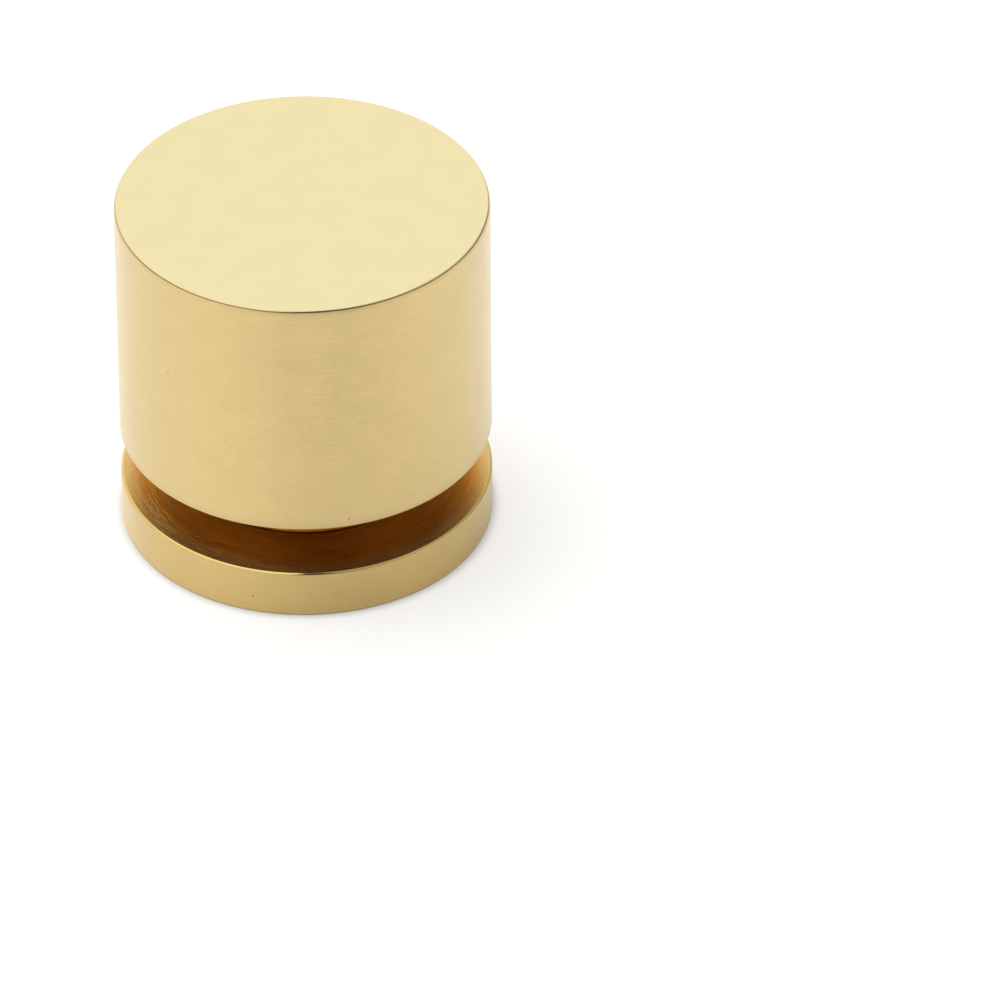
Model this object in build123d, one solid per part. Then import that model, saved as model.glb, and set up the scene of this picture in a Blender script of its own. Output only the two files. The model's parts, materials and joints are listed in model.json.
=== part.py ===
"""Cabinet knob turned from one bar of brass: a plain cylindrical head, an undercut groove
and a round base, tapped from behind for the screw that comes through the door.

Millimetres. The origin is the centre of the seating face, which lies flat against the door,
and +Z is the knob's axis, pointing out of the door.
"""
import os
from math import radians, tan

from build123d import *

# Turned outline
base_diameter = 25.4
base_thickness = 3.5
neck_diameter = 15.9
groove_width = 3.7
head_diameter = 25.4
head_length = 18.1
edge_break_radius = 0.15
groove_corner_radius = 0.35

# Tapped hole: the drill size for a No. 8-32 thread, with room past the screw's end
tap_drill_diameter = 3.454
tap_drill_depth = 16.0
drill_point_angle = 118.0
countersink_depth = 0.65
countersink_angle = 90.0

SHARP = 0.0


def turned_solid(*corners):
    """One full turn about the axis of a closed outline, given as (radius, height, corner radius)."""
    points = [(radius, height) for radius, height, _ in corners]
    rounding = [corner_radius for _, _, corner_radius in corners]
    outline = FilletPolyline(*points, radius=rounding, close=True)
    return revolve(Plane.XZ * make_face(outline), Axis.Z)


def turned_blank():
    """The knob as it leaves the lathe: base, neck and head in one outline.

    The seating edge stays crisp, so that it closes against the door.
    """
    base_radius = base_diameter / 2
    neck_radius = neck_diameter / 2
    head_radius = head_diameter / 2
    groove_top = base_thickness + groove_width
    knob_top = groove_top + head_length
    return turned_solid(
        (0, 0, SHARP),
        (base_radius, 0, SHARP),
        (base_radius, base_thickness, edge_break_radius),
        (neck_radius, base_thickness, groove_corner_radius),
        (neck_radius, groove_top, groove_corner_radius),
        (head_radius, groove_top, edge_break_radius),
        (head_radius, knob_top, edge_break_radius),
        (0, knob_top, SHARP),
    )


def tapped_hole():
    """What the countersink and the tap drill take out, with the drill's point at the end."""
    drill_radius = tap_drill_diameter / 2
    mouth_radius = drill_radius + countersink_depth * tan(radians(countersink_angle / 2))
    point_length = drill_radius / tan(radians(drill_point_angle / 2))
    return turned_solid(
        (0, 0, SHARP),
        (mouth_radius, 0, SHARP),
        (drill_radius, countersink_depth, SHARP),
        (drill_radius, tap_drill_depth, SHARP),
        (0, tap_drill_depth + point_length, SHARP),
    )


knob = turned_blank() - tapped_hole()

os.makedirs("parts", exist_ok=True)
export_step(knob, "parts/knob.step")
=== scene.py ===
"""Cabinet knob turned from brass bar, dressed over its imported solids, on a small white studio floor.

Metres. The origin is the centre of the seating face and +Z is the knob's axis.
"""

import json
from math import cos, pi, radians, sin, tan

import bpy
from bpy.props import FloatProperty, FloatVectorProperty, IntProperty, PointerProperty
from bpy.types import Operator, Panel, PropertyGroup
from mathutils import Matrix, Vector


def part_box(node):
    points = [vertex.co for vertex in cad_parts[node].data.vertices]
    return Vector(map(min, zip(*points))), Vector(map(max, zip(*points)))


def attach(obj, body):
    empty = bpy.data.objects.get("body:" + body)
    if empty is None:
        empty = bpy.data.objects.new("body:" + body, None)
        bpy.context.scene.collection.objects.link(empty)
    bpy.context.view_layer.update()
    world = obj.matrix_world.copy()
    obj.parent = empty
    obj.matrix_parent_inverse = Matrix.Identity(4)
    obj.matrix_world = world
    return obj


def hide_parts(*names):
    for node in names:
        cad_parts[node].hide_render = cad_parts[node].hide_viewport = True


bl_info = {
    "name": "Turned brass knob",
    "version": (1, 0, 0),
    "blender": (4, 5, 0),
    "location": "View3D > Sidebar > Knob",
    "description": "Turns a brass cabinet knob with a tapped hole and sets up a studio for it",
    "category": "Add Mesh",
}

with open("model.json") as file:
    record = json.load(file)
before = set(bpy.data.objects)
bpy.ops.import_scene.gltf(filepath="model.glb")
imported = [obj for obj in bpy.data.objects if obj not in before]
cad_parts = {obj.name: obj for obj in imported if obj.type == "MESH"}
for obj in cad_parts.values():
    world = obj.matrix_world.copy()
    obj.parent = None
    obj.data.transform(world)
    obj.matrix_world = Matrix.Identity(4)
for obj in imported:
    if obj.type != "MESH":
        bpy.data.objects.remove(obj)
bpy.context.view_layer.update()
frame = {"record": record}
knob_low, knob_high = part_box("knob")
screw_hole = next(mount for mount in frame["record"]["mounts"] if mount["name"] == "screw_hole")

MM = 0.001

# Turned outline: straight run kept beside each rounding, weld distance and the tools' angles
LEAD = 0.02 * MM
HAIR = 0.001 * MM
DRILL_HALF_ANGLE = radians(59)
LIP_SLOPE = radians(30)
CREASE = radians(28)

# Thread form: flat and flank as shares of half a pitch, then counts of turns
THREAD_FLAT = 0.358
THREAD_FLANK = 0.518
THREAD_RUN_OUT = 1.5
TURNS_BELOW = 2

# Turning marks on metal lie round the axis, a quarter turn from the shader's own direction
QUARTER_TURN = 0.25

SENSOR_WIDTH = 36.0
BLACK = (0.0, 0.0, 0.0, 1.0)
WHITE = (1.0, 1.0, 1.0, 1.0)


def length(name, description, metres):
    """A length that the sidebar shows in the scene's units."""
    return FloatProperty(
        name=name,
        description=description,
        default=metres,
        min=0.0,
        precision=5,
        unit="LENGTH",
        subtype="DISTANCE",
    )


def share(name, description, default):
    """A number from 0 to 1."""
    return FloatProperty(
        name=name, description=description, default=default, min=0.0, max=1.0, subtype="FACTOR"
    )


def level(name, description, default):
    """A strength of light."""
    return FloatProperty(name=name, description=description, default=default, min=0.0)


def count(name, description, default, least, most):
    """A whole number of facets."""
    return IntProperty(name=name, description=description, default=default, min=least, max=most)


def colour(name, description, default):
    """A linear colour."""
    return FloatVectorProperty(
        name=name, description=description, default=default, size=3, min=0.0, max=1.0, subtype="COLOR"
    )


def angle(name, description, degrees):
    """An angle that is given here in degrees."""
    return FloatProperty(
        name=name, description=description, default=radians(degrees), unit="ROTATION", subtype="ANGLE"
    )


class KnobSizes(PropertyGroup):
    """Sizes of the turned body and of its tapped hole."""

    diameter: length("Diameter", "Across the head and the base", knob_high.x - knob_low.x)
    height: length("Height", "From the seating face to the top of the head", knob_high.z - knob_low.z)
    base_thickness: length("Base thickness", "Height of the round base", 3.5 * MM)
    groove_width: length("Groove width", "Height of the undercut between base and head", 3.7 * MM)
    neck_diameter: length("Neck diameter", "Across the bottom of the groove", 15.9 * MM)
    edge_break: length("Edge break", "Radius on the outer edges", 0.18 * MM)
    roll_in: length("Roll in", "How far the head's side rolls in below its top", 0.09 * MM)
    roll_height: length("Roll height", "Height over which the head's side rolls in", 0.30 * MM)
    roll_radius: length("Roll radius", "Radius of the roll where it leaves the side", 1.2 * MM)
    lip_bevel: length("Lip bevel", "Width of the shallow bevel round the upper edge of the base", 0.15 * MM)
    lip_round: length("Lip round", "Radius on both edges of the bevel", 0.07 * MM)
    groove_corner: length("Groove corner", "Radius that the tool leaves in the groove", 0.55 * MM)
    drill_diameter: length("Tap drill", "Across the drilled hole", 2 * screw_hole["dims"]["r_mm"] * MM)
    drill_depth: length("Drill depth", "From the seating face to the drill's shoulder", 16.0 * MM)
    countersink_depth: length("Countersink", "Depth of the countersink at the hole's mouth", 0.65 * MM)
    thread_diameter: length("Thread diameter", "Major diameter of the screw thread", 4.166 * MM)
    thread_pitch: length("Thread pitch", "Rise of the thread in one turn", 0.79375 * MM)
    thread_depth: length("Thread depth", "From the seating face to the thread's end", 13.0 * MM)
    segments: count("Segments", "Facets round the axis", 192, 24, 256)
    round_steps: count("Round steps", "Facets across each rounded edge", 8, 2, 16)
    thread_steps: count("Thread steps", "Facets in one pitch of the thread", 12, 6, 16)


class BrassFinish(PropertyGroup):
    """Colours and polish of the turned surfaces."""

    # Painted highlight: the face's brass is paler than the sides', standing in for the bright light the flat
    # face mirrors
    polished_highlight_colour: colour("Polished brass", "Face of the head", (0.90, 0.79, 0.445))
    edge_colour: colour("Edge brass", "Rounded edges of the head and of the base", (0.94, 0.69, 0.24))
    satin_colour: colour("Satin brass", "Side of the head", (0.95, 0.716, 0.274))
    # Painted shade: the undercut's brass is deeper and redder than the sides', so the undercut shows shaded
    shaded_groove_colour: colour("Groove brass", "Floor of the undercut, left as it was turned", (0.94, 0.42, 0.045))
    # Painted shade: the base's side is a darker, warmer brass than the head's side
    shaded_rim_colour: colour("Rim brass", "Side of the base, a little darkened as painted shade", (0.885, 0.63, 0.198))
    # Painted light: the outer ring of the undercut's floor is paler, where it comes out from under the head
    lit_ledge_colour: colour("Ledge brass", "Outer ring of the undercut's floor", (0.81, 0.60, 0.26))
    # Painted shade: the neck is darkened deep in the undercut
    shaded_neck_colour: colour("Neck brass", "Neck in the undercut, darkened as painted shade", (0.39, 0.187, 0.047))
    # Painted shade: the head's lower face is darkened, less so near its outer edge
    shaded_roof_colour: colour("Roof brass", "Head's lower face, darkened as painted shade", (0.11, 0.05, 0.013))
    # Painted shade: a dark line painted round the rounded top edge of the head
    edge_shade_colour: colour("Edge shade line", "Thin line round the top edge of the head", (0.36, 0.13, 0.005))
    # Real pits and specks; on the sides this colour also carries the painted shade along the head's lower
    # edge
    tarnish_and_shade_colour: colour("Tarnish and shade", "Pits and specks", (0.16, 0.10, 0.05))
    polished_roughness: share("Polished roughness", "Face of the head", 0.22)
    edge_roughness: share("Edge roughness", "Rounded edges of the head and of the base", 0.10)
    satin_roughness: share("Satin roughness", "Side of the head and of the base", 0.50)
    groove_roughness: share("Groove roughness", "Undercut, seating face and hole", 0.34)
    mark_spacing: length("Mark spacing", "From one turning mark to the next", 0.16 * MM)
    grain_spacing: length("Grain spacing", "From one fleck of the satin grain to the next", 0.15 * MM)
    scratch_spacing: length("Scratch spacing", "From one scratch in the undercut to the next", 0.07 * MM)


class StudioLook(PropertyGroup):
    """Floor, light and camera."""

    floor_colour: colour("Floor", "White floor", (0.93, 0.908, 0.872))
    floor_glow: share("Floor glow", "Part of the floor that stays white in shadow", 0.5)
    contact_reach: length("Contact reach", "How far the floor darkens round what stands on it", 0.7 * MM)
    room_level: level("Room light", "Even light on the floor", 0.60)
    key_strength: level("Key light", "Soft light from the back left", 1.95)
    key_turn: angle("Key turn", "Turn of the key light about the axis, from the right", 155.0)
    key_height: angle("Key height", "Height of the key light above the floor", 70.0)
    key_spread: angle("Key spread", "Width of the key light, seen from the knob", 50.0)
    camera_distance: length("Camera distance", "From the base to the lens", 799.4 * MM)
    camera_height: angle("Camera height", "How far the camera looks down", 36.72)
    camera_roll: angle("Camera roll", "Turn of the picture", -0.344)
    lens: FloatProperty(
        name="Lens",
        description="Focal length in millimetres",
        default=419.3,
        min=1.0,
        subtype="DISTANCE_CAMERA",
    )


class Wire:
    """An output socket. Arithmetic on it adds Math nodes to its tree."""

    def __init__(self, nodes, socket):
        self.nodes = nodes
        self.socket = socket

    def __getitem__(self, name):
        return Wire(self.nodes, self.socket.node.outputs[name])

    def __add__(self, other):
        return self.nodes.maths("ADD", self, other)

    def __radd__(self, other):
        return self.nodes.maths("ADD", other, self)

    def __sub__(self, other):
        return self.nodes.maths("SUBTRACT", self, other)

    def __rsub__(self, other):
        return self.nodes.maths("SUBTRACT", other, self)

    def __mul__(self, other):
        return self.nodes.maths("MULTIPLY", self, other)

    def __rmul__(self, other):
        return self.nodes.maths("MULTIPLY", other, self)

    def __truediv__(self, other):
        return self.nodes.maths("DIVIDE", self, other)

    def __rtruediv__(self, other):
        return self.nodes.maths("DIVIDE", other, self)

    def __mod__(self, other):
        return self.nodes.maths("MODULO", self, other)

    def __gt__(self, other):
        return self.nodes.maths("GREATER_THAN", self, other)

    def __lt__(self, other):
        return self.nodes.maths("LESS_THAN", self, other)

    def __abs__(self):
        return self.nodes.maths("ABSOLUTE", self)

    def at_least(self, other):
        return self.nodes.maths("MAXIMUM", self, other)

    def at_most(self, other):
        return self.nodes.maths("MINIMUM", self, other)


class Nodes:
    """A node tree that is written as expressions on wires."""

    def __init__(self, tree):
        self.tree = tree

    def node(self, kind, settings=None, sockets=None):
        """Adds a node with its settings, then the value, link or list of links of each socket."""
        node = self.tree.nodes.new(kind)
        for name, value in (settings or {}).items():
            if name == "items":
                for _ in range(value - len(node.index_switch_items)):
                    node.index_switch_items.new()
            else:
                setattr(node, name, value)
        for key, value in (sockets or {}).items():
            for wire in value if isinstance(value, list) else [value]:
                if isinstance(wire, Wire):
                    self.tree.links.new(wire.socket, node.inputs[key])
                else:
                    node.inputs[key].default_value = wire
        return Wire(self, node.outputs[0] if node.outputs else None)

    def maths(self, operation, *terms):
        """A Math node on wires and numbers."""
        return self.node("ShaderNodeMath", {"operation": operation}, dict(enumerate(terms)))

    def pick(self, index, values):
        """The value whose place in the list is the index."""
        sockets = {0: index}
        sockets.update((place + 1, value) for place, value in enumerate(values))
        return self.node("GeometryNodeIndexSwitch", {"data_type": "FLOAT", "items": len(values)}, sockets)

    def point(self, x, y, z):
        return self.node("ShaderNodeCombineXYZ", None, {0: x, 1: y, 2: z})

    def parts(self, vector):
        split = self.node("ShaderNodeSeparateXYZ", None, {0: vector})
        return split["X"], split["Y"], split["Z"]

    def fade(self, value, start, end):
        """A smooth step from 0 at start to 1 at end."""
        sockets = {0: value, 1: start, 2: end, 3: 0.0, 4: 1.0}
        return self.node("ShaderNodeMapRange", {"interpolation_type": "SMOOTHSTEP"}, sockets)

    def band(self, value, start, full, fall, end):
        """Rises smoothly to 1 from start to full, and sinks back to 0 from fall to end."""
        return self.fade(value, start, full) * self.fade(value, end, fall)

    def blend(self, factor, first, second):
        """A mix of two colours."""
        mixed = self.node("ShaderNodeMix", {"data_type": "RGBA"}, {0: factor, 6: first, 7: second})
        return Wire(self, mixed.socket.node.outputs[2])

    def noise(self, vector, detail=2.0, roughness=0.5):
        sockets = {"Vector": vector, "Scale": 1.0, "Detail": detail, "Roughness": roughness}
        return self.node("ShaderNodeTexNoise", None, sockets)


def turned_outline(size):
    """Corners of the turned outline from the top's centre to the drill's point: radius, height, rounding.

    A short straight lead beside each rounding keeps the faces next to it flat.
    """
    radius = size["Diameter"] / 2
    neck = size["Neck Diameter"] / 2
    hole = size["Drill Diameter"] / 2
    top = size["Height"]
    base = size["Base Thickness"]
    groove = base + size["Groove Width"]
    edge = size["Edge Break"]
    corner = size["Groove Corner"]
    inner = radius - size["Roll In"]
    flat = radius - edge - LEAD
    drop = size["Roll Height"]
    lip = size["Lip Bevel"]
    lip_round = size["Lip Round"]
    corner_lead = corner + LEAD
    mouth = hole + size["Countersink Depth"]
    depth = size["Drill Depth"]
    point = depth + hole / tan(DRILL_HALF_ANGLE)
    return [
        (0.0, top, 0.0),
        (inner - edge - LEAD, top, 0.0),
        (inner, top, edge),
        (radius, top - drop, size["Roll Radius"]),
        (radius, top - drop * 2, 0.0),
        (radius, groove + edge + LEAD, 0.0),
        (radius, groove, edge),
        (flat, groove, 0.0),
        (neck + corner_lead, groove, 0.0),
        (neck, groove, corner),
        (neck, groove - corner_lead, 0.0),
        (neck, base + corner_lead, 0.0),
        (neck, base, corner),
        (neck + corner_lead, base, 0.0),
        (flat, base, 0.0),
        (radius - lip, base, lip_round),
        (radius, base - lip * tan(LIP_SLOPE), lip_round),
        (radius, base - edge - LEAD, 0.0),
        (radius, edge + LEAD, 0.0),
        (radius, 0.0, edge),
        (flat, 0.0, 0.0),
        (mouth, 0.0, 0.0),
        (hole, size["Thread Depth"], 0.0),
        (hole, depth, 0.0),
        (0.0, point, 0.0),
    ]


def outline_points(nodes, corners, steps):
    """The outline as a row of points, with its roundings drawn."""
    index = nodes.node("GeometryNodeInputIndex")
    across, up, rounding = (nodes.pick(index, column) for column in zip(*corners))
    row = nodes.node("GeometryNodeMeshLine", None, {"Count": len(corners)})
    place = nodes.point(across, 0.0, up)
    bent = nodes.node("GeometryNodeSetPosition", None, {"Geometry": row, "Position": place})
    curve = nodes.node("GeometryNodeMeshToCurve", None, {"Mesh": bent})
    sockets = {"Curve": curve, "Count": steps, "Radius": rounding, "Limit Radius": True}
    rounded = nodes.node("GeometryNodeFilletCurve", {"mode": "POLY"}, sockets)
    return nodes.node("GeometryNodeCurveToMesh", None, {"Curve": rounded})


def grid_place(nodes, rows):
    """Row and column of each point in a grid that is filled row by row."""
    index = nodes.node("GeometryNodeInputIndex")
    row = index % rows
    return row, (index - row) / rows


def wrapped(nodes, columns, rows, radius, turn, height):
    """A grid wrapped about the axis, with each point at its radius, turn and height."""
    grid = nodes.node("GeometryNodeMeshGrid", None, {"Vertices X": columns, "Vertices Y": rows})
    x = radius * nodes.maths("COSINE", turn)
    y = radius * nodes.maths("SINE", turn)
    place = nodes.point(x, y, height)
    return nodes.node("GeometryNodeSetPosition", None, {"Geometry": grid, "Position": place})


def turned_skin(nodes, points, segments):
    """The outline turned once about the axis."""
    totals = nodes.node("GeometryNodeAttributeDomainSize", {"component": "MESH"}, {"Geometry": points})
    rows = totals["Point Count"]
    row, column = grid_place(nodes, rows)
    place = nodes.node("GeometryNodeInputPosition")
    sockets = {"Geometry": points, "Value": place, "Index": row}
    sampled = nodes.node("GeometryNodeSampleIndex", {"data_type": "FLOAT_VECTOR", "domain": "POINT"}, sockets)
    radius, _, height = nodes.parts(sampled)
    return wrapped(nodes, segments + 1, rows, radius, column / segments * (2 * pi), height)


def thread_skin(nodes, size, segments):
    """A right-handed screw thread from the seating face to the thread's end, on rows that climb with it."""
    pitch = size["Thread Pitch"]
    steps = size["Thread Steps"]
    end = size["Thread Depth"]
    hole = size["Drill Diameter"] / 2
    cut = size["Thread Diameter"] / 2 - hole
    rows = nodes.maths("CEIL", end / pitch + TURNS_BELOW) * steps + 1
    row, column = grid_place(nodes, rows)
    turn = column / segments
    height = ((row / steps + turn - TURNS_BELOW) * pitch).at_least(0.0).at_most(end)
    ridge = 1 - abs((row / steps) % 1 - 0.5) * 2
    flank = ((ridge - THREAD_FLAT) / THREAD_FLANK).at_least(0.0).at_most(1.0)
    run_out = ((end - height) / (pitch * THREAD_RUN_OUT)).at_most(1.0)
    countersink = hole + size["Countersink Depth"] - height
    radius = (hole + cut * flank * run_out).at_least(countersink)
    return wrapped(nodes, segments + 1, rows, radius, turn * (2 * pi), height)


SIZE_INPUTS = (
    "Diameter",
    "Height",
    "Base Thickness",
    "Groove Width",
    "Neck Diameter",
    "Edge Break",
    "Roll In",
    "Roll Height",
    "Roll Radius",
    "Lip Bevel",
    "Lip Round",
    "Groove Corner",
    "Drill Diameter",
    "Drill Depth",
    "Countersink Depth",
    "Thread Diameter",
    "Thread Pitch",
    "Thread Depth",
)
COUNT_INPUTS = ("Segments", "Round Steps", "Thread Steps")
FINISH_INPUTS = ("Polished Brass", "Edge Brass", "Satin Brass", "Groove Brass", "Drilled Brass")


def turning_tree():
    """Geometry Nodes that turn the knob's outline, cut its thread and give each surface its finish."""
    tree = bpy.data.node_groups.new("Turned knob", "GeometryNodeTree")
    for names, kind in (
        (SIZE_INPUTS, "NodeSocketFloat"),
        (COUNT_INPUTS, "NodeSocketInt"),
        (FINISH_INPUTS, "NodeSocketMaterial"),
    ):
        for name in names:
            tree.interface.new_socket(name, in_out="INPUT", socket_type=kind)
    tree.interface.new_socket("Geometry", in_out="OUTPUT", socket_type="NodeSocketGeometry")

    nodes = Nodes(tree)
    size = nodes.node("NodeGroupInput")
    segments = size["Segments"]
    body = turned_skin(nodes, outline_points(nodes, turned_outline(size), size["Round Steps"]), segments)

    # The thread takes the place of the plain wall between the hole's mouth and the thread's end
    x, y, z = nodes.parts(nodes.node("GeometryNodeInputPosition"))
    radius = nodes.maths("SQRT", x * x + y * y)
    mouth = size["Drill Diameter"] / 2 + size["Countersink Depth"]
    threaded = (radius < mouth) * (z > HAIR) * (z < size["Thread Depth"])
    sockets = {"Geometry": body, "Selection": threaded}
    body = nodes.node("GeometryNodeDeleteGeometry", {"domain": "FACE"}, sockets)
    thread = thread_skin(nodes, size, segments)
    skin = nodes.node("GeometryNodeJoinGeometry", None, {"Geometry": [thread, body]})
    skin = nodes.node("GeometryNodeMergeByDistance", None, {"Geometry": skin, "Distance": HAIR})
    skin = nodes.node("GeometryNodeFlipFaces", None, {"Mesh": skin})

    sockets = {"Geometry": skin, "Shade Smooth": True}
    skin = nodes.node("GeometryNodeSetShadeSmooth", {"domain": "FACE"}, sockets)
    crease = nodes.node("GeometryNodeInputMeshEdgeAngle") > CREASE
    sockets = {"Geometry": skin, "Selection": crease, "Shade Smooth": False}
    skin = nodes.node("GeometryNodeSetShadeSmooth", {"domain": "EDGE"}, sockets)
    skin = nodes.node("GeometryNodeRealizeInstances", None, {"Geometry": skin})

    # Each finish covers part of the ones before it
    groove_low = size["Base Thickness"]
    groove_high = groove_low + size["Groove Width"]
    edge = size["Edge Break"]
    outer = size["Diameter"] / 2 - edge
    head_side = (z > groove_high + HAIR) * (z < size["Height"] - edge / 2)
    base_side = (z > HAIR) * (z < groove_low - edge / 2)
    undercut = (z > groove_low - HAIR) * (z < groove_high + HAIR) * (radius < outer)
    beneath = (z < HAIR).at_least(radius < mouth + HAIR) * (z < size["Drill Depth"] * 1.2)
    for name, faces in (
        ("Polished Brass", True),
        ("Edge Brass", (radius > outer - size["Roll In"]) * (z < size["Height"] - edge * 0.3)),
        ("Satin Brass", (head_side + base_side) * (radius > outer)),
        ("Groove Brass", undercut),
        ("Drilled Brass", beneath),
    ):
        sockets = {"Geometry": skin, "Selection": faces, "Material": size[name]}
        skin = nodes.node("GeometryNodeSetMaterial", None, sockets)
    nodes.node("NodeGroupOutput", None, {"Geometry": skin})
    return tree


def blank_material(name):
    """A new material with its node tree cleared for writing."""
    material = bpy.data.materials.new(name)
    material.use_nodes = True
    material.node_tree.nodes.clear()
    return material, Nodes(material.node_tree)


def opaque(linear, shade=1.0):
    """A linear colour, darkened by its shade, with its alpha."""
    return (*(part * shade for part in linear), 1.0)


def turned_place(nodes):
    """A point on a turned surface: its place, its radius, its height and its turn as a unit vector."""
    place = nodes.node("ShaderNodeTexCoord")["Object"]
    x, y, z = nodes.parts(place)
    off_axis = 1e-12
    radius = nodes.maths("SQRT", x * x + y * y + off_axis)
    return place, radius, z, x / radius, y / radius


def turning_marks(nodes, along, across, up, spacing, arc):
    """Marks left round the axis by the lathe, spacing apart, each broken up along its arc."""
    return nodes.noise(nodes.point(along / spacing, across * arc, up * arc), detail=3.0, roughness=0.6)


def scaled(nodes, place, pattern):
    """Object coordinates in units of the pattern's size."""
    return nodes.node("ShaderNodeVectorMath", {"operation": "SCALE"}, {0: place, "Scale": 1 / pattern})


def specks(nodes, place, spread, reach):
    """Sparse round pits, in two of every five cells."""
    cells = nodes.node("ShaderNodeTexVoronoi", None, {"Vector": scaled(nodes, place, spread), "Scale": 1.0})
    lot, _, _ = nodes.parts(cells["Color"])
    return nodes.fade(cells["Distance"], reach, reach * 0.4) * (lot > 0.6)


def relief_bump(nodes, relief, distance, strength=1.0):
    """A normal that stands up with the relief."""
    return nodes.node("ShaderNodeBump", None, {"Strength": strength, "Distance": distance, "Height": relief})


def metal(nodes, sockets, settings=None):
    """Ends a material in a metal whose gloss is drawn out across its turning marks."""
    sockets = {"Metallic": 1.0, "Anisotropic Rotation": QUARTER_TURN, **sockets}
    shader = nodes.node("ShaderNodeBsdfPrincipled", settings, sockets)
    nodes.node("ShaderNodeOutputMaterial", None, {"Surface": shader})


def polished_brass(finish, sizes, name, tone, roughness):
    """Face of the head and rounded edges: smooth, with faint facing marks, a soft bloom and a painted dark
    line of shade round the top edge.
    """
    material, nodes = blank_material(name)
    place, radius, height, across, up = turned_place(nodes)
    marks = turning_marks(nodes, radius + height, across, up, finish.mark_spacing, 3.0)
    bloom = nodes.noise(scaled(nodes, place, 2.5 * MM), detail=3.0)
    shade = nodes.blend(nodes.fade(bloom, 0.3, 0.7), opaque(tone, 0.98), opaque(tone))
    top = sizes.height
    # Painted shade: a dark band on the rounded top edge, just below the face
    painted_edge_shade = nodes.band(height, top - 0.30 * MM, top - 0.18 * MM, top - 0.08 * MM, top - 0.02 * MM)
    shade = nodes.blend(painted_edge_shade * 0.8, shade, opaque(finish.edge_shade_colour))
    sockets = {
        "Base Color": shade,
        "Roughness": roughness + (bloom - 0.5) * 0.08,
        "Anisotropic": 0.4,
        "Normal": relief_bump(nodes, marks, 0.01 * MM, strength=0.04),
    }
    metal(nodes, sockets)
    return material


def satin_brass(finish, sizes):
    """Sides of the head and base: satin, with fine lines round the axis, light mottling and a few pits. The
    base's side is a darker, warmer brass and the head's side darkens towards its lower edge, both painted
    shade.
    """
    material, nodes = blank_material("satin_brass")
    place, _, height, across, up = turned_place(nodes)
    marks = turning_marks(nodes, height, across, up, finish.mark_spacing, 4.0)
    grain = turning_marks(nodes, height, across, up, finish.grain_spacing, 45.0)
    cloud = nodes.noise(scaled(nodes, place, 2.2 * MM), detail=2.0)
    pits = specks(nodes, place, 1.7 * MM, 0.05)
    base_top = sizes.base_thickness
    head_low = base_top + sizes.groove_width
    on_head = nodes.fade(height, base_top + 0.1 * MM, head_low - 0.2 * MM)
    # The base's side takes the darker rim brass: painted shade
    tone = nodes.blend(on_head, opaque(finish.shaded_rim_colour), opaque(finish.satin_colour))
    # Painted shade: the head's side darkens over its lowest 0.8 mm, above the undercut; the marks and grain
    # add a little real wear
    painted_low_shade = nodes.fade(height, head_low + 0.8 * MM, head_low) * (height > head_low - 0.2 * MM)
    wear_and_shade = nodes.fade(marks * 0.5 + grain * 0.5, 0.65, 0.35) * 0.04 + painted_low_shade * 0.14
    tone = nodes.blend((wear_and_shade + pits * 0.7).at_most(1.0), tone, opaque(finish.tarnish_and_shade_colour))
    rough = finish.satin_roughness + (cloud - 0.5) * 0.07 + (grain - 0.5) * 0.18 + pits * 0.3
    sockets = {
        "Base Color": tone,
        "Roughness": rough,
        "Anisotropic": 0.8,
        "Coat Weight": 1.0,
        "Coat Roughness": 0.25,
        "Coat IOR": 1.7,
        "Normal": relief_bump(nodes, marks * 0.62 + grain * 0.38, 0.043 * MM),
    }
    metal(nodes, sockets, {"distribution": "GGX"})
    return material


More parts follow.
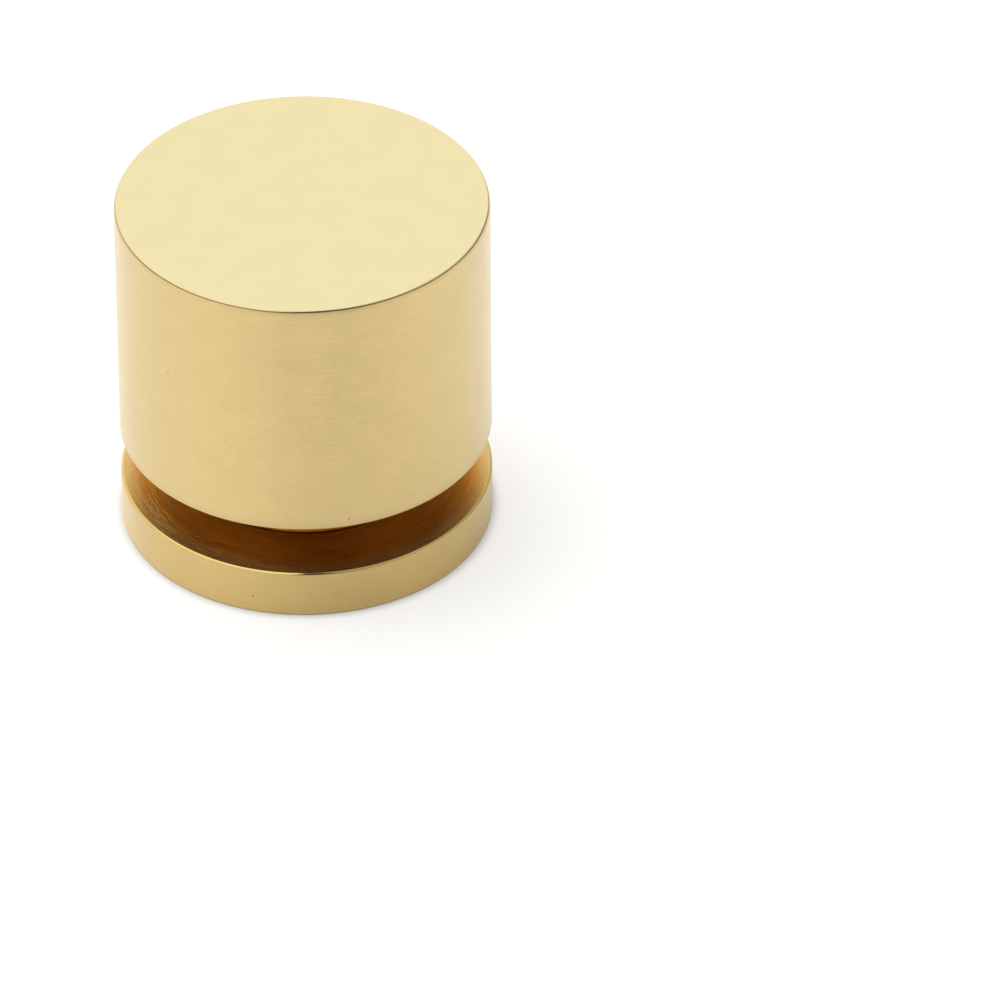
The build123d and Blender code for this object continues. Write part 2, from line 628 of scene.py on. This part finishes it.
def groove_brass(finish, sizes, name, tone, undercut=False):
    """Undercut, seating face and hole: brass straight from the tool, with plain marks round the axis.

    The undercut is a deeper, redder brass as painted shade. Its floor pales outwards as painted light and is
    scratched on one side. Its neck and roof are darkened further as painted shade.
    """
    material, nodes = blank_material(name)
    place, radius, height, across, up = turned_place(nodes)
    marks = turning_marks(nodes, radius + height, across, up, finish.mark_spacing, 3.0)
    mottle = nodes.noise(scaled(nodes, place, 1.2 * MM), detail=3.0)
    pits = specks(nodes, place, 2.5 * MM, 0.03)
    streaks = nodes.fade(mottle * 0.15 + marks * 0.85, 0.3, 0.7)
    shade = nodes.blend(streaks, opaque(tone, 0.8), opaque(tone))
    rough = finish.groove_roughness + (marks - 0.5) * 0.2
    relief = marks
    if undercut:
        low = sizes.base_thickness
        high = low + sizes.groove_width
        rim = sizes.diameter / 2
        ledge = nodes.fade(height, low + 0.08 * MM, low + 0.02 * MM)
        corner = nodes.band(height, low + 0.02 * MM, low + 0.08 * MM, low + 0.45 * MM, low + 0.7 * MM)
        outward = nodes.fade(radius, rim - 3.7 * MM, rim - 0.3 * MM)
        scored = nodes.band(radius, rim - 2.5 * MM, rim - 1.5 * MM, rim - 0.8 * MM, rim - 0.3 * MM)
        scored = scored * ledge * nodes.fade(across, -0.1, -0.4)
        scratches = turning_marks(nodes, radius, across, up, finish.scratch_spacing, 5.0)
        scratches = nodes.fade(scratches, 0.54, 0.66) * scored
        # Painted light: the floor of the undercut pales towards its outer edge, and along the scratches where
        # they catch the light
        painted_ledge_light = (nodes.fade(radius, rim - 1.7 * MM, rim - 0.3 * MM) * 0.8).at_least(scratches * 0.3)
        shade = nodes.blend(painted_ledge_light, shade, opaque(finish.lit_ledge_colour))
        # Painted shade: the neck in the undercut is darkened
        on_neck = nodes.fade(height, low + 0.25 * MM, low + 0.7 * MM)
        shade = nodes.blend(on_neck, shade, opaque(finish.shaded_neck_colour))
        # Painted shade: the head's lower face is darkened, easing towards its outer edge
        roof_ring = nodes.fade(radius, rim - 2.2 * MM, rim - 0.5 * MM) * 0.6
        painted_roof_shade = nodes.blend(roof_ring, opaque(finish.shaded_roof_colour), opaque(finish.edge_colour))
        on_roof = nodes.fade(height, high - 0.35 * MM, high - 0.1 * MM)
        shade = nodes.blend(on_roof, shade, painted_roof_shade)
        rough = rough + ledge * 0.06 - corner * 0.18 - scratches * 0.1 - outward * ledge * 0.11
        relief = marks * (1 - ledge * 0.85) + scratches * 0.4
    shade = nodes.blend(pits * 0.6, shade, opaque(finish.tarnish_and_shade_colour))
    sockets = {
        "Base Color": shade,
        "Roughness": rough,
        "Anisotropic": 0.9,
        "Normal": relief_bump(nodes, relief, 0.02 * MM),
    }
    metal(nodes, sockets)
    return material


class TurnKnob(Operator):
    """Turn the brass knob and tap its hole"""

    bl_idname = "knob.turn_knob"
    bl_label = "Turn knob"

    def execute(self, context):
        scene = context.scene
        sizes = scene.knob_sizes
        finish = scene.knob_finish
        tree = turning_tree()
        # The face's paler brass is a painted highlight
        face = (finish.polished_highlight_colour, finish.polished_roughness)
        edge = (finish.edge_colour, finish.edge_roughness)
        inputs = {
            "Polished Brass": polished_brass(finish, sizes, "polished_brass", *face),
            "Edge Brass": polished_brass(finish, sizes, "edge_brass", *edge),
            "Satin Brass": satin_brass(finish, sizes),
            # The undercut's deeper, redder brass is painted shade
            "Groove Brass": groove_brass(finish, sizes, "groove_brass", finish.shaded_groove_colour, undercut=True),
            "Drilled Brass": groove_brass(finish, sizes, "drilled_brass", finish.satin_colour),
        }
        for name in SIZE_INPUTS + COUNT_INPUTS:
            inputs[name] = getattr(sizes, name.lower().replace(" ", "_"))
        knob = bpy.data.objects.new("turned_knob", bpy.data.meshes.new("turned_knob"))
        scene.collection.objects.link(knob)
        turning = knob.modifiers.new("Turned knob", "NODES")
        turning.node_group = tree
        for item in tree.interface.items_tree:
            if item.in_out == "INPUT":
                turning[item.identifier] = inputs[item.name]
        evaluated = knob.evaluated_get(context.evaluated_depsgraph_get())
        turned = bpy.data.meshes.new_from_object(evaluated)
        knob.modifiers.remove(turning)
        knob.data = turned
        # The skin starts with an empty slot, which no face uses once the finishes are set
        turned.materials.pop(index=list(turned.materials).index(None))
        if not turned.polygons:
            raise RuntimeError("the turned knob came out empty")
        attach(knob, "root")
        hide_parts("knob")
        return {"FINISHED"}


def white_floor(look):
    """White floor that keeps the knob's shadow and looks white to the camera and in the metal."""
    material, nodes = blank_material("white_floor")
    path = nodes.node("ShaderNodeLightPath")
    place = nodes.node("ShaderNodeTexCoord")["Object"]
    contact = nodes.node("ShaderNodeAmbientOcclusion", {"samples": 4}, {"Distance": look.contact_reach})
    mirrored = path["Is Glossy Ray"] + path["Is Transmission Ray"]
    glow_share = path["Is Camera Ray"] * look.floor_glow + mirrored * 0.05
    grain = nodes.noise(scaled(nodes, place, 0.4 * MM), detail=2.0)
    shade = nodes.blend(grain, opaque(look.floor_colour, 0.99), opaque(look.floor_colour))
    matt = nodes.node("ShaderNodeBsdfDiffuse", None, {"Color": shade})
    open_floor = nodes.blend(contact["AO"], BLACK, WHITE)
    glow = nodes.node("ShaderNodeEmission", None, {"Color": open_floor, "Strength": 1.2})
    mixed = nodes.node("ShaderNodeMixShader", None, {0: glow_share, 1: matt, 2: glow})
    nodes.node("ShaderNodeOutputMaterial", None, {"Surface": mixed})
    return material


def white_room(look):
    """White room, dark on the side where the camera stands. The camera itself sees plain white."""
    world = bpy.data.worlds.new("white_room")
    world.use_nodes = True
    world.node_tree.nodes.clear()
    nodes = Nodes(world.node_tree)
    path = nodes.node("ShaderNodeLightPath")
    x, y, z = nodes.parts(nodes.node("ShaderNodeTexCoord")["Generated"])
    turn = nodes.maths("ARCTAN2", x, 0 - y)

    # Bright wall at the back, weaker to both sides, and a bright corner high on the left
    back = nodes.fade(y + z * 0.35, 0.15, 0.55) * (1 - nodes.fade(x, 0.1, 0.7) * 0.9)
    back = back * (1 - nodes.fade(x, -0.3, -0.8) * 0.45)
    left_top = nodes.fade(z, 0.55, 0.75) * nodes.fade(turn, radians(-8), radians(-28))
    lit = back.at_least(left_top)

    # Half-lit walls to the left and right, brighter near the floor
    left = nodes.fade(turn, radians(-5), radians(-55)) * 0.70
    left = left - nodes.fade(turn, radians(-75), radians(-110)) * 0.22
    low = nodes.fade(z, 0.7, 0.45)
    right = nodes.band(turn, radians(36), radians(52), radians(100), radians(125)) * low
    beside = 0.3 + left * (1 - nodes.fade(z, 0.1, 0.42) * 0.75) + right * 0.3

    # Dim front of the studio
    front = nodes.band(turn, radians(-20), radians(-2), radians(34), radians(40))
    beside = beside * (1 - front) + front * nodes.fade(z, 0.95, 0.7) * 0.24

    studio = beside + lit * (1 - beside)
    seen = (path["Is Camera Ray"] + path["Is Glossy Ray"] + path["Is Transmission Ray"]).at_most(1.0)
    shown = path["Is Camera Ray"].at_least(studio)
    strength = shown * seen + (1 - seen) * look.room_level
    sky = nodes.node("ShaderNodeBackground", None, {"Color": WHITE, "Strength": strength})
    nodes.node("ShaderNodeOutputWorld", None, {"Surface": sky})
    return world


def key_light(look):
    """One broad soft light from the back left."""
    lamp = bpy.data.lights.new("key_light", "SUN")
    lamp.energy = look.key_strength
    lamp.angle = look.key_spread
    key = bpy.data.objects.new("key_light", lamp)
    outward = cos(look.key_height)
    towards = Vector((cos(look.key_turn) * outward, sin(look.key_turn) * outward, sin(look.key_height)))
    key.rotation_euler = towards.to_track_quat("Z", "Y").to_euler()
    key.visible_camera = False
    key.visible_glossy = False
    return key


def photo_camera(look):
    """Camera at the photograph's angle; the knob's base stands left of the picture's middle."""
    forward = Vector((0.0, cos(look.camera_height), -sin(look.camera_height)))
    sideways = Vector((1.0, 0.0, 0.0))
    upright = sideways.cross(forward)
    right = cos(look.camera_roll) * sideways + sin(look.camera_roll) * upright
    up = cos(look.camera_roll) * upright - sin(look.camera_roll) * sideways
    base_right = -13.212 * MM
    base_up = -0.233 * MM
    camera = bpy.data.objects.new("photo_camera", bpy.data.cameras.new("photo_camera"))
    camera.data.lens = look.lens
    camera.data.sensor_width = SENSOR_WIDTH
    turned = Matrix((right, up, -forward)).transposed().to_4x4()
    turned.translation = -(base_right * right + base_up * up + look.camera_distance * forward)
    camera.matrix_world = turned
    return camera


class SetStage(Operator):
    """Set up the white floor, the light and the camera"""

    bl_idname = "knob.set_stage"
    bl_label = "Set stage"

    def execute(self, context):
        scene = context.scene
        look = scene.knob_studio
        reach = 2.0
        sheet = bpy.data.meshes.new("floor")
        corners = [(-reach, -reach, 0.0), (reach, -reach, 0.0), (reach, reach, 0.0), (-reach, reach, 0.0)]
        sheet.from_pydata(corners, [], [(0, 1, 2, 3)])
        sheet.materials.append(white_floor(look))
        floor = bpy.data.objects.new("floor", sheet)
        camera = photo_camera(look)
        for item in (floor, key_light(look), camera):
            scene.collection.objects.link(item)
        scene.world = white_room(look)
        scene.camera = camera
        scene.view_settings.view_transform = "Standard"
        return {"FINISHED"}


class KnobPanel(Panel):
    """Sizes, finish and studio of the knob"""

    bl_idname = "VIEW3D_PT_turned_knob"
    bl_label = "Turned knob"
    bl_space_type = "VIEW_3D"
    bl_region_type = "UI"
    bl_category = "Knob"

    def draw(self, context):
        scene = context.scene
        for title, group, action in (
            ("Sizes", scene.knob_sizes, None),
            ("Finish", scene.knob_finish, TurnKnob),
            ("Studio", scene.knob_studio, SetStage),
        ):
            box = self.layout.box()
            box.label(text=title)
            for name in group.__annotations__:
                box.prop(group, name)
            if action:
                box.operator(action.bl_idname)


CLASSES = (KnobSizes, BrassFinish, StudioLook, TurnKnob, SetStage, KnobPanel)


def register():
    for cls in CLASSES:
        bpy.utils.register_class(cls)
    bpy.types.Scene.knob_sizes = PointerProperty(type=KnobSizes)
    bpy.types.Scene.knob_finish = PointerProperty(type=BrassFinish)
    bpy.types.Scene.knob_studio = PointerProperty(type=StudioLook)


def unregister():
    del bpy.types.Scene.knob_studio
    del bpy.types.Scene.knob_finish
    del bpy.types.Scene.knob_sizes
    for cls in reversed(CLASSES):
        bpy.utils.unregister_class(cls)


def main():
    register()
    bpy.ops.knob.turn_knob()
    bpy.ops.knob.set_stage()


if __name__ == "__main__":
    main()
